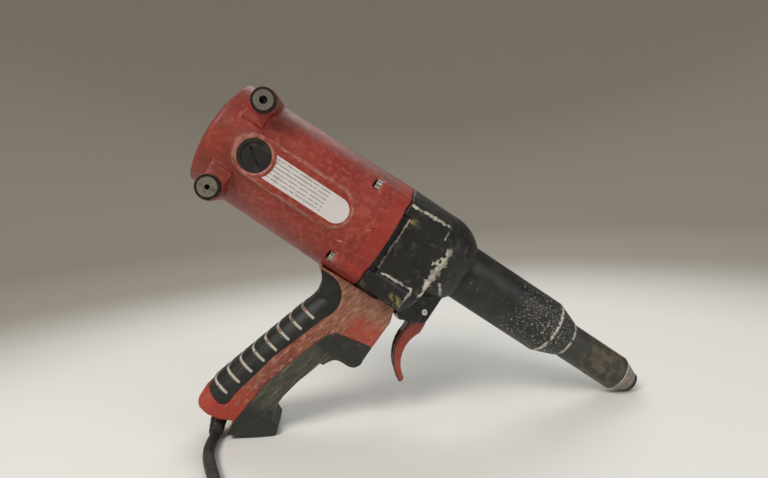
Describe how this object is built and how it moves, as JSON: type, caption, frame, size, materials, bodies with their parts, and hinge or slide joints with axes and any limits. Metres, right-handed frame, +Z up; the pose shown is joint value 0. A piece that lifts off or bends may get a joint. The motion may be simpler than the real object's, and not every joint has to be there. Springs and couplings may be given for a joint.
{
  "type": "electric blind riveter",
  "caption": "Corded blind riveter with tubular red motor housing, black gear case, long pulling nose, and pistol handle with curved trigger.",
  "frame": {"origin": "centre of the bottom of the tool's box, without its cord, on the surface it stands on", "axes": "+Z up as the tool stands on nose tip and handle foot, +X towards the nose, +Y to the tool's left"},
  "size_m": [0.3, 0.243, 0.2251],
  "materials": {
    "red_moulding": "worn, dusty red moulding",
    "red_handle": "rubbed red moulding with rough wear",
    "label_white": "satin film, blank",
    "black_plastic": "moulded black",
    "black_paint": "chipped black paint over cast aluminium",
    "sleeve_paint": "scratched black paint over steel",
    "bare_steel": "worn bright steel",
    "dark_steel": "blackened steel",
    "nose_metal": "dull rubbed steel",
    "cast_alloy": "as cast",
    "brass": "drawn",
    "bronze": "turned bronze",
    "copper": "enamelled copper",
    "carbon": "graphite",
    "gear_steel": "oiled steel",
    "rubber_grip": "smooth black rubber with pale dust in its grooves",
    "front_pad": "dusty streaked rubber",
    "trigger_red": "glossy red moulding",
    "zinc": "bright zinc",
    "cord_rubber": "dusty rubber sheath"
  },
  "bodies": {
    "tool_body": {"motor_housing": "red_moulding", "nameplate": "label_white", "brush_cap_right": "black_plastic", "brush_cap_left": "black_plastic", "brush_holders": "brass", "carbon_brushes": "carbon", "brush_springs": "bare_steel", "rear_tube_top": "bare_steel", "rear_tube_bottom": "bare_steel", "rear_collars": "dark_steel", "stator_core": "gear_steel", "field_coils": "copper", "armature_bearing_rear": "gear_steel", "armature_bearing_front": "gear_steel", "bearing_plate": "cast_alloy", "gear_housing": "black_paint", "housing_screws": "zinc", "countershaft_bearing_rear": "gear_steel", "countershaft_bearing_front": "gear_steel", "nut_bearing": "gear_steel", "thrust_bearing": "gear_steel", "front_sleeve": "sleeve_paint", "nose_tube": "sleeve_paint", "nose_cone": "nose_metal", "nosepiece": "dark_steel", "handle_right": "red_handle", "handle_left": "red_handle", "handle_screws": "zinc", "rear_grip": "rubber_grip", "front_grip": "front_pad", "switch_body": "black_plastic", "trigger_pin": "zinc", "trigger_spring": "bare_steel", "cord_clamp": "black_plastic", "clamp_screws": "zinc", "strain_relief": "cord_rubber", "cord": "cord_rubber", "cord_coil": "cord_rubber", "coil_tie": "black_plastic", "plug": "black_plastic"},
    "armature": {"armature_shaft": "gear_steel", "armature_core": "gear_steel", "commutator": "copper", "cooling_fan": "black_plastic"},
    "counter_gear": {"countershaft": "gear_steel", "countershaft_gear": "gear_steel"},
    "nut": {"drive_nut": "bronze", "nut_gear": "gear_steel"},
    "spindle": {"pulling_spindle": "gear_steel", "spindle_key": "gear_steel", "jaw_case": "dark_steel", "pusher_spring": "bare_steel"},
    "jaw_a": {"jaw_1": "dark_steel"},
    "jaw_b": {"jaw_2": "dark_steel"},
    "jaw_c": {"jaw_3": "dark_steel"},
    "pusher": {"jaw_pusher": "gear_steel"},
    "switch_button": {"switch_plunger": "black_plastic"},
    "trigger": {"trigger": "trigger_red"}
  },
  "joints": [
    {"name": "armature_spin", "type": "hinge", "parent": "tool_body", "child": "armature", "pos_m": [-0.07049, 0, 0.15899], "axis": [0.7934, 0, -0.6088], "range_deg": [0, 33000]},
    {"name": "counter_spin", "type": "hinge", "parent": "tool_body", "child": "counter_gear", "pos_m": [-0.02432, 0, 0.10088], "axis": [0.7934, 0, -0.6088], "range_deg": [-6601, 1]},
    {"name": "nut_spin", "type": "hinge", "parent": "tool_body", "child": "nut", "pos_m": [0.007, 0, 0.11214], "axis": [0.7934, 0, -0.6088], "range_deg": [-1, 1801]},
    {"name": "spindle_pull", "type": "slide", "parent": "tool_body", "child": "spindle", "axis": [-0.7934, 0, 0.6088], "range_m": [-0.0001, 0.0201]},
    {"name": "jaw_close", "type": "slide", "parent": "spindle", "child": "jaw_a", "axis": [0.6495, 0, -0.7604], "range_m": [0, 0.0018], "stiffness_N_per_m": 200},
    {"name": "jaw_2_close", "type": "slide", "parent": "spindle", "child": "jaw_b", "axis": [0.8393, 0.18, -0.513], "range_m": [-0.0001, 0.0019]},
    {"name": "jaw_3_close", "type": "slide", "parent": "spindle", "child": "jaw_c", "axis": [0.8393, -0.18, -0.513], "range_m": [-0.0001, 0.0019]},
    {"name": "pusher_follow", "type": "slide", "parent": "spindle", "child": "pusher", "axis": [0.7934, 0, -0.6088], "range_m": [-0.0001, 0.0019]},
    {"name": "trigger_pull", "type": "hinge", "parent": "tool_body", "child": "trigger", "pos_m": [0.00095, 0, 0.0714], "axis": [0, 1, 0], "range_deg": [0, 12], "stiffness_Nm_per_rad": 0.25, "springref_deg": -20.05},
    {"name": "switch_push", "type": "slide", "parent": "tool_body", "child": "switch_button", "axis": [-0.7934, 0, 0.6088], "range_m": [-0.0001, 0.0026]}
  ],
  "couplings": [
    {"joint": "counter_spin", "follows": "armature_spin", "ratio": -0.2},
    {"joint": "nut_spin", "follows": "armature_spin", "ratio": 0.054545},
    {"joint": "spindle_pull", "follows": "armature_spin", "m_per_rad": 0.000034725},
    {"joint": "jaw_2_close", "follows": "jaw_close", "ratio": 1},
    {"joint": "jaw_3_close", "follows": "jaw_close", "ratio": 1},
    {"joint": "pusher_follow", "follows": "jaw_close", "ratio": 0.97816},
    {"joint": "switch_push", "follows": "trigger_pull", "m_per_rad": 0.0116}
  ]
}
